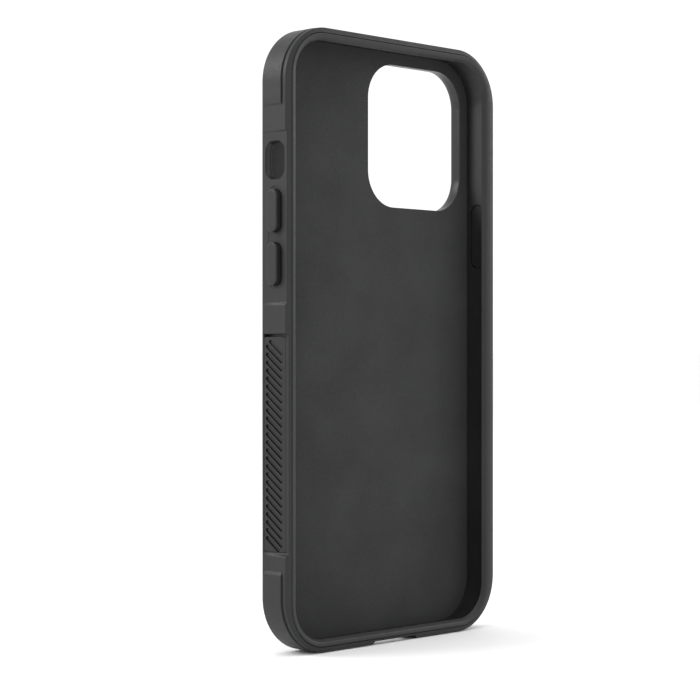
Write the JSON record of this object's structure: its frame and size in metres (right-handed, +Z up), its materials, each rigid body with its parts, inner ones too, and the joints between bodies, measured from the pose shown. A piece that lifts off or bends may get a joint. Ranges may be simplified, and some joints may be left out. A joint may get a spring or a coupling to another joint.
{
  "type": "phone case",
  "caption": "Rugged black phone case: moulded frame over a soft sleeve, hard back, raised corner pads, slotted side grips and pressable side keys.",
  "frame": {"origin": "centre of the bounding box's bottom face, under the bottom edge of the upright case", "axes": "+Z up the case from the charging port to the top edge, +Y from the screen side to the back, +X to the power button's side"},
  "size_m": [0.0846, 0.0126, 0.1654],
  "materials": {
    "frame": "fine matte texture",
    "sleeve": "matte",
    "panel": "fine matte texture",
    "guard": "satin",
    "lining": "microfibre",
    "grip": "matte",
    "pad": "matte",
    "cushion": "matte foam",
    "button": "matte"
  },
  "bodies": {
    "case": {"outer_frame": "frame", "inner_sleeve": "sleeve", "back_panel": "panel", "camera_guard": "guard", "back_lining": "lining", "grip_left": "grip", "grip_right": "grip", "corner_pad_top_left": "pad", "corner_pad_top_right": "pad", "corner_pad_bottom_left": "pad", "corner_pad_bottom_right": "pad", "cushion_top_left": "cushion", "cushion_top_right": "cushion", "cushion_bottom_left": "cushion", "cushion_bottom_right": "cushion"},
    "volume_up": {"volume_up_button": "button"},
    "volume_down": {"volume_down_button": "button"},
    "power": {"power_button": "button"}
  },
  "joints": [
    {"name": "volume_up_press", "type": "slide", "parent": "case", "child": "volume_up", "axis": [1, 0, 0], "range_m": [0, 0.0003], "stiffness_N_per_m": 4000},
    {"name": "volume_down_press", "type": "slide", "parent": "case", "child": "volume_down", "axis": [1, 0, 0], "range_m": [0, 0.0003], "stiffness_N_per_m": 4000},
    {"name": "power_press", "type": "slide", "parent": "case", "child": "power", "axis": [-1, 0, 0], "range_m": [0, 0.0003], "stiffness_N_per_m": 4000}
  ]
}
